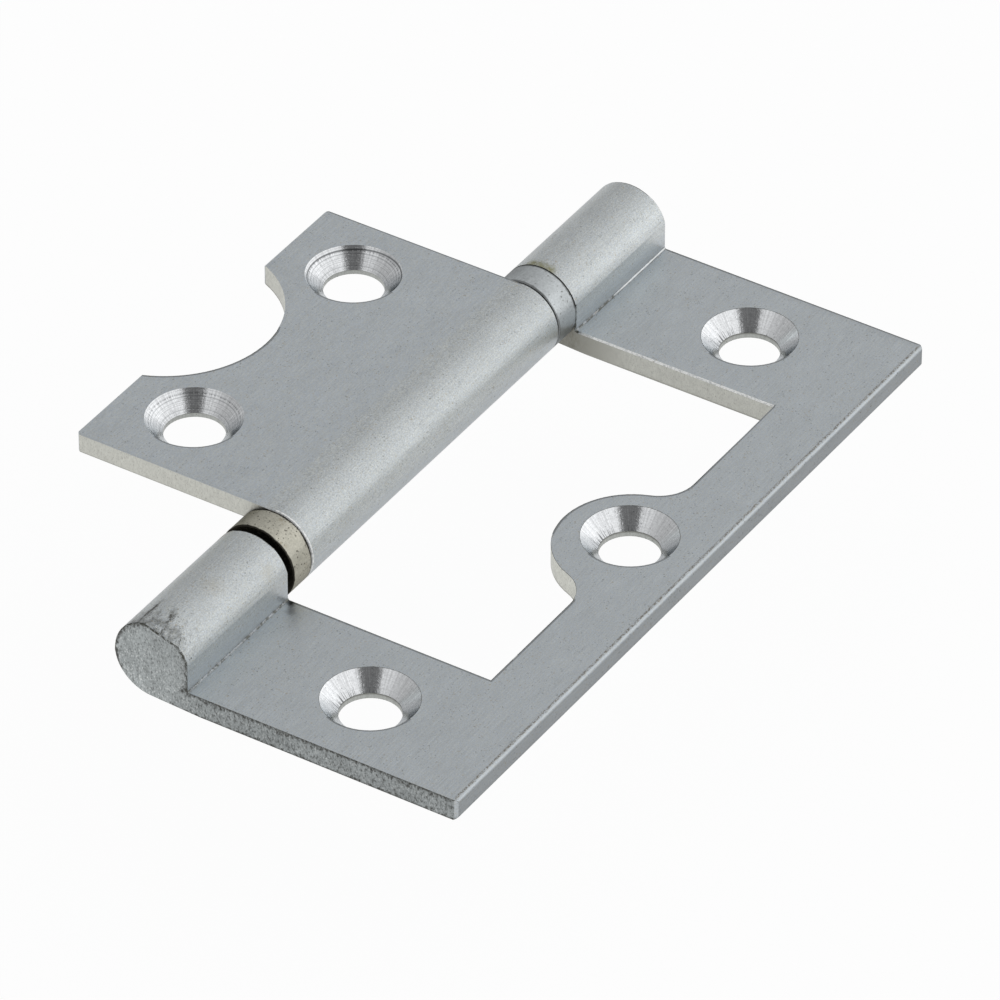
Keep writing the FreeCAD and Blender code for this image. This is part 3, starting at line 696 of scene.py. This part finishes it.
# Drawn steel rod, seen only in the gap beside the near washer and at its driven end.
def makePinSteel():
    material, tree, surface = newMaterial("pinSteel", 1.0)
    brushed = useGroup(tree, "brushing", Fineness=10.0, Length=0.04, Grain=9.0)
    colour = mixColour(tree, brushed["Lines"], screen(*pin["dark"]), screen(*pin["light"]))
    tree.links.new(colour, surface.inputs["Base Color"])
    tree.links.new(around(tree, brushed["Lines"], pin["roughness"], 0.1), surface.inputs["Roughness"])
    setBump(tree, surface, brushed["Lines"], pin["relief"])
    return material


materials = {
    # the second satin is a darker copy, painted shade for the strips along the rounder edges
    "satin": makeSatin("satinPlate", 1.0), "stripShade": makeSatin("stripShadeSatin", 0.56),
    "sawn": makeSawn(), "milled": makeMilled(), "sunk": makeSunk(), "land": makeLand(), "arris": makeArris(),
    "near": makeWasherMetal("near", "near_washer"), "far": makeWasherMetal("far", "far_washer"),
    "pin": makePinSteel(),
}
print("materials made:", len(materials))

meshing = {"weld": 0.002, "sliver": 0.001, "flatWithin": 0.3, "cutSnap": 0.0005}
broken = {"sharpFrom": 28, "segments": 2, "profile": 0.6}


# A piece that starts from a node's solid, welded, so that its edges and faces can be worked on.
def workPiece(node, name, slots):
    data = frame["nodes"][node].data.copy()
    data.name = name
    piece = bpy.data.objects.new(name, data)
    bpy.context.scene.collection.objects.link(piece)
    data.materials.clear()
    for slotName in slots:
        data.materials.append(materials[slotName])
    work = bmesh.new()
    work.from_mesh(data)
    bmesh.ops.remove_doubles(work, verts=work.verts, dist=meshing["weld"] * mm)
    bmesh.ops.dissolve_degenerate(work, dist=meshing["sliver"] * mm, edges=work.edges)
    bmesh.ops.dissolve_limit(work, angle_limit=math.radians(meshing["flatWithin"]), verts=work.verts,
                             edges=work.edges)
    work.normal_update()
    return piece, work


# The middle of the screw hole that a place belongs to, if there is one.
def holeAt(centre):
    for x, y in screwHoles:
        if math.hypot(centre.x - x, centre.y - y) < hole["rim"] + 0.03:
            return Vector((x, y, 0))
    return None


# The direction that the true surface faces at a point of a facet, where it is a plane or a turned one.
def trueNormal(face, centre, point):
    normal = face.normal
    middle = holeAt(centre)
    if middle and abs(normal.z) < 0.95:
        inward = middle - point
        inward.z = 0
        inward.normalize()
        return (inward + Vector((0, 0, 1))).normalized() if normal.z > 0.3 else inward
    outward = Vector((point.x - pinX, 0, point.z - pinZ))
    centreReach = math.hypot(centre.x - pinX, centre.z - pinZ)
    if abs(centreReach - knuckle["radius"]) < 0.03 and abs(normal.y) < 0.05:
        return outward.normalized()
    if max(abs(part) for part in normal) > 0.9995:
        return normal
    return None


# Custom normals: true ones on planes and turned faces, and soft ones on the small faces between.
def shadeTruly(piece, work, arrisIndex):
    work.normal_update()
    known = {}
    for face in work.faces:
        if face.material_index == arrisIndex:
            continue
        centre = face.calc_center_median() / mm
        for corner in face.loops:
            normal = trueNormal(face, centre, corner.vert.co / mm)
            if normal:
                known[corner] = normal.copy()
    normals = []
    for face in work.faces:
        for corner in face.loops:
            nearby = [known[other] for other in corner.vert.link_loops if other in known]
            nearby.sort(key=face.normal.dot)
            if corner in known:
                normals.append(known[corner])
            elif nearby and nearby[-1].dot(face.normal) > 0.75:
                normals.append(nearby[-1])
            else:
                soft = Vector()
                for other in corner.vert.link_faces:
                    if other.normal.dot(face.normal) > 0.7:
                        soft += other.normal
                normals.append(soft.normalized())
    for edge in work.edges:
        edge.smooth = True
    for face in work.faces:
        face.smooth = True
    work.to_mesh(piece.data)
    work.free()
    piece.data.normals_split_custom_set(normals)


def dressFaces(work, slots, ruleFor):
    for face in work.faces:
        face.material_index = slots.index(ruleFor(face.calc_center_median() / mm, face.normal))


# Cuts a mesh by planes across one axis, so that what lies between can be bent.
def addCuts(work, axis, places):
    along = Vector((axis == "x", axis == "y", 0))
    for place in places:
        everything = list(work.verts) + list(work.edges) + list(work.faces)
        bmesh.ops.bisect_plane(work, geom=everything, plane_co=along * place * mm, plane_no=along,
                               dist=meshing["cutSnap"] * mm)


# Rounds an upright corner of a plate in plan, as tumbling does.
def roundCorner(work, corner, radius):
    x, y = corner
    signX, signY = math.copysign(1, x), math.copysign(1, y)
    for vertex in work.verts:
        across = (vertex.co.x / mm - x) * signX / radius + 1
        along = (vertex.co.y / mm - y) * signY / radius + 1
        if across > 0 and along > 0:
            across, along = (across * math.sqrt(max(0, 1 - along ** 2 / 2)),
                             along * math.sqrt(max(0, 1 - across ** 2 / 2)))
            vertex.co.x = (x + (across - 1) * radius * signX) * mm
            vertex.co.y = (y + (along - 1) * radius * signY) * mm


# Breaks sharp edges in turn, each pass by its own width where its test of place and facing holds. The
# last pass takes what is left, as far as there is room.
def breakEdges(work, slots, passes):
    arrisIndex = slots.index("arris")
    for number, (width, test) in enumerate(passes):
        sharp = []
        for edge in work.edges:
            if not edge.is_manifold or edge.calc_face_angle(0.0) < math.radians(broken["sharpFrom"]):
                continue
            fresh = all(face.material_index != arrisIndex for face in edge.link_faces)
            facing = edge.link_faces[0].normal + edge.link_faces[1].normal
            if fresh and test((edge.verts[0].co + edge.verts[1].co) / 2 / mm, facing):
                sharp.append(edge)
        bmesh.ops.bevel(work, geom=sharp, offset=width * mm, offset_type="WIDTH", segments=broken["segments"],
                        profile=broken["profile"], affect="EDGES", clamp_overlap=number == len(passes) - 1,
                        material=arrisIndex, loop_slide=True)


def onRoundSide(centre, facing):
    return 0.9 < facing.z < 1.2 and facing.dot(roundSide["towards"]) > 0.3


def onAnyEdge(centre, facing):
    return True


# A narrow flat strip of the plate's top along its rounder edges, given the darker satin copy as painted shade.
def shadeEdgeStrips(work, slots):
    arrisIndex, satinIndex = slots.index("arris"), slots.index("satin")
    tops = [face for face in work.faces if face.normal.z > 0.9999 and face.material_index == satinIndex
            and face.calc_area() > 1 * mm * mm]
    strips = bmesh.ops.inset_region(work, faces=tops, thickness=roundSide["strip"] * mm, use_boundary=True,
                                    use_even_offset=True)["faces"]
    for face in strips:
        beside = [other for edge in face.edges for other in edge.link_faces
                  if other.material_index == arrisIndex]
        atHole = holeAt(face.calc_center_median() / mm)
        if not atHole and any(other.normal.dot(roundSide["towards"]) > 0.1 for other in beside):
            face.material_index = slots.index("stripShade")


outerLeaf = {
    "slots": ["satin", "sawn", "milled", "sunk", "land", "arris", "stripShade"],
    "edge": 0.12, "rollover": 0.18, "rim": 0.14, "round": 0.13, "farCorner": 0.5, "nearCorner": 0.4,
    "roll": {"reach": 1.1, "drop": 0.12}, "farCut": 0.15, "nearCut": 0.13,
}


def outerRule(centre, normal):
    if holeAt(centre) and abs(normal.z) < 0.95:
        return "sunk" if normal.z > 0.3 else "land"
    if abs(normal.y) > 0.9 and abs(centre.y) > outerHigh.y - 0.05:
        return "sawn"
    if abs(normal.y) > 0.9:
        return "milled"
    windowSide = abs(normal.z) < 0.1 and knuckle["foot"] + 1.0 < centre.x < outerHigh.x - 1.0
    if windowSide and abs(centre.y) < outerHigh.y - 5:
        return "milled"
    return "satin"


# The plate's top falls away a little towards its far end and corner.
def rollFarEnd(work):
    roll = outerLeaf["roll"]
    for vertex in work.verts:
        x, y, z = vertex.co / mm
        if x < knuckle["foot"] + 0.3 or z > plate["top"] + 0.01:
            continue
        near = max(0.0, 1 - (outerHigh.y - y) / roll["reach"])
        side = (x - knuckle["foot"]) / (outerHigh.x - knuckle["foot"])
        vertex.co.z -= roll["drop"] * near ** 2 * side * (z / plate["top"]) * mm


def onFarWindowEdge(centre, facing):
    return abs(centre.y - window["farY"]) < 0.1 and centre.z > 1.7 and centre.x > knuckle["foot"]


def onOuterNearRim(centre, facing):
    return centre.y < outerLow.y + 0.1 and centre.z > pinZ


def makeOuterLeaf():
    slots = outerLeaf["slots"]
    piece, work = workPiece("outer_leaf", "outerLeaf", slots)
    dressFaces(work, slots, outerRule)
    breakEdges(work, slots, [
        (outerLeaf["rollover"], onFarWindowEdge), (outerLeaf["rim"], onOuterNearRim),
        (outerLeaf["round"], onRoundSide), (outerLeaf["edge"], onAnyEdge)])
    shadeEdgeStrips(work, slots)
    addCuts(work, "x", [outerHigh.x - step * outerLeaf["farCut"] for step in range(1, 7)])
    addCuts(work, "y", [outerHigh.y - step * outerLeaf["farCut"] for step in range(1, 8)])
    addCuts(work, "y", [outerLow.y + step * outerLeaf["nearCut"] for step in range(1, 4)])
    rollFarEnd(work)
    roundCorner(work, (outerHigh.x, outerHigh.y), outerLeaf["farCorner"])
    roundCorner(work, (outerHigh.x, outerLow.y), outerLeaf["nearCorner"])
    shadeTruly(piece, work, slots.index("arris"))
    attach(piece, "large_leaf")
    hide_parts("outer_leaf")


innerLeaf = {
    "slots": ["satin", "milled", "sunk", "land", "arris", "stripShade"],
    "edge": 0.11, "rim": 0.13, "round": 0.13, "corner": 0.35,
}


def innerRule(centre, normal):
    if holeAt(centre) and abs(normal.z) < 0.95:
        return "sunk" if normal.z > 0.3 else "land"
    if abs(normal.y) > 0.9 and (centre.y < innerLow.y + 0.05 or centre.y > innerHigh.y - 0.05):
        return "milled"
    if abs(normal.z) < 0.1 and innerLow.x + 0.3 < centre.x < pinX - knuckle["radius"]:
        return "milled"
    return "satin"


def onInnerNearRim(centre, facing):
    return centre.y < innerLow.y + 0.1 and centre.x > pinX + 0.05


def makeInnerLeaf():
    slots = innerLeaf["slots"]
    piece, work = workPiece("inner_leaf", "innerLeaf", slots)
    dressFaces(work, slots, innerRule)
    breakEdges(work, slots, [
        (innerLeaf["round"], onRoundSide), (innerLeaf["rim"], onInnerNearRim),
        (innerLeaf["edge"], onAnyEdge)])
    shadeEdgeStrips(work, slots)
    steps = [step * innerLeaf["corner"] / 4 for step in range(1, 5)]
    addCuts(work, "x", [innerLow.x + step for step in steps])
    addCuts(work, "y", [innerLow.y + step for step in steps] + [innerHigh.y - step for step in steps])
    roundCorner(work, (innerLow.x, innerLow.y), innerLeaf["corner"])
    roundCorner(work, (innerLow.x, innerHigh.y), innerLeaf["corner"])
    shadeTruly(piece, work, slots.index("arris"))
    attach(piece, "small_leaf")
    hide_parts("inner_leaf")


def makeWasher(node, name, look):
    piece, work = workPiece(node, name, [look])
    dressFaces(work, [look], lambda centre, normal: look)
    shadeTruly(piece, work, None)
    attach(piece, "large_leaf")
    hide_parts(node)


makeOuterLeaf()
makeInnerLeaf()
makeWasher("near_washer", "nearWasher", "near")
makeWasher("far_washer", "farWasher", "far")
pinMesh = frame["nodes"]["hinge_pin"].data
pinMesh.materials.clear()
pinMesh.materials.append(materials["pin"])

studio = {
    "room": {"left": 0.43, "right": 0.93, "leftAt": -0.9, "rightAt": 0.42, "colour": (0.98, 0.99, 1.0),
             "horizon": 0.3},
    "shade": {"towards": (0.31, -0.47, 0.825), "level": 0.83, "inner": 0.955, "outer": 0.915},
    "floor": {"drop": 15.0, "size": 4000, "level": 0.95, "seen": 0.95, "inMetal": 0.4},
    "softbox": {"direction": (0.52, 0.67, 0.53), "distance": 900, "size": 700, "radiance": 0.05},
}
white = (1.0, 1.0, 1.0, 1.0)


# White where it is seen directly or in metal, and lit by the lamps under the hinge's shadow.
def makeFloor():
    look = studio["floor"]
    half = look["size"] / 2 * mm
    corners = [(-half, -half, 0), (half, -half, 0), (half, half, 0), (-half, half, 0)]
    data = bpy.data.meshes.new("floor")
    data.from_pydata(corners, [], [(0, 1, 2, 3)])
    floor = bpy.data.objects.new("floor", data)
    floor.location.z = -look["drop"] * mm
    bpy.context.scene.collection.objects.link(floor)
    material, tree, surface = newMaterial("paleFloor", 0.0, Roughness=0.9)
    surface.inputs["Base Color"].default_value = (look["level"], look["level"], look["level"], 1.0)
    ray = addNode(tree, "ShaderNodeLightPath").outputs
    mirrored = strongest(tree, ray["Is Glossy Ray"], ray["Is Transmission Ray"])
    seen = strongest(tree, times(tree, ray["Is Camera Ray"], look["seen"]),
                     times(tree, mirrored, look["inMetal"]))
    glow = addNode(tree, "ShaderNodeEmission", {"Color": white, "Strength": 1.0})
    above = addNode(tree, "ShaderNodeMixShader", {0: seen, 1: surface.outputs[0], 2: glow.outputs[0]})
    beneath = addNode(tree, "ShaderNodeNewGeometry").outputs["Backfacing"]
    clear = addNode(tree, "ShaderNodeBsdfTransparent").outputs[0]
    mixed = addNode(tree, "ShaderNodeMixShader", {0: beneath, 1: above.outputs[0], 2: clear})
    tree.links.new(mixed.outputs[0], tree.nodes["Material Output"].inputs["Surface"])
    data.materials.append(material)


# A pale room, lighter to the right, with the dark place behind the camera that a photographer leaves.
def makeWorld():
    world = bpy.data.worlds.new("studio")
    bpy.context.scene.world = world
    world.use_nodes = True
    tree = world.node_tree
    room = tree.nodes["Background"]
    look, shade = studio["room"], studio["shade"]
    room.inputs["Color"].default_value = (*look["colour"], 1.0)
    direction = addNode(tree, "ShaderNodeTexCoord").outputs["Generated"]
    parts = addNode(tree, "ShaderNodeSeparateXYZ", {0: direction}).outputs
    across = addNode(tree, "ShaderNodeMapRange", {
        "Value": parts["X"], "From Min": look["leftAt"], "From Max": look["rightAt"],
        "To Min": look["left"], "To Max": look["right"]}).outputs[0]
    nearHorizon = scaled(tree, fade(tree, parts["Z"], 0.5, 0.1), look["horizon"], 1.0)
    towards = vectorMath(tree, "DOT_PRODUCT", direction, Vector(shade["towards"]).normalized())
    darker = times(tree, fade(tree, towards, shade["outer"], shade["inner"]), shade["level"])
    level = times(tree, across, nearHorizon, calc(tree, "SUBTRACT", 1.0, darker))
    tree.links.new(level, room.inputs["Strength"])
    plain = addNode(tree, "ShaderNodeBackground", {"Color": white, "Strength": 1.0}).outputs[0]
    seen = addNode(tree, "ShaderNodeLightPath").outputs["Is Camera Ray"]
    mixed = addNode(tree, "ShaderNodeMixShader", {0: seen, 1: room.outputs[0], 2: plain})
    tree.links.new(mixed.outputs[0], tree.nodes["World Output"].inputs["Surface"])


def makeLamp(name):
    look = studio[name]
    lamp = bpy.data.lights.new(name, "AREA")
    lamp.shape = "DISK"
    lamp.size = look["size"] * mm
    lamp.energy = look["radiance"] * math.pi * math.pi * (lamp.size / 2) ** 2
    placed = bpy.data.objects.new(name, lamp)
    direction = Vector(look["direction"]).normalized()
    placed.location = direction * look["distance"] * mm
    placed.rotation_mode = "QUATERNION"
    placed.rotation_quaternion = direction.to_track_quat("Z", "Y")
    bpy.context.scene.collection.objects.link(placed)


camera = {"target": (6.397, -2.770, 3.35), "azimuth": 32.544, "elevation": 37.206, "roll": 0.102,
          "distance": 722.32, "lens": 359.55, "sensor": 36, "clipStart": 10, "clipEnd": 20000}


def makeCamera():
    data = bpy.data.cameras.new("camera")
    data.lens = camera["lens"]
    data.sensor_width = camera["sensor"]
    data.clip_start = camera["clipStart"] * mm
    data.clip_end = camera["clipEnd"] * mm
    placed = bpy.data.objects.new("camera", data)
    turn, rise = math.radians(camera["azimuth"]), math.radians(camera["elevation"])
    back = Vector((math.sin(turn) * math.cos(rise), -math.cos(turn) * math.cos(rise), math.sin(rise)))
    placed.location = (Vector(camera["target"]) + back * camera["distance"]) * mm
    aim = back.to_track_quat("Z", "Y").to_matrix()
    placed.rotation_euler = (aim @ Matrix.Rotation(math.radians(camera["roll"]), 3, "Z")).to_euler()
    bpy.context.scene.collection.objects.link(placed)
    bpy.context.scene.camera = placed


makeFloor()
makeWorld()
makeLamp("softbox")
makeCamera()
bpy.context.scene.view_settings.view_transform = "Standard"
print("studio made")
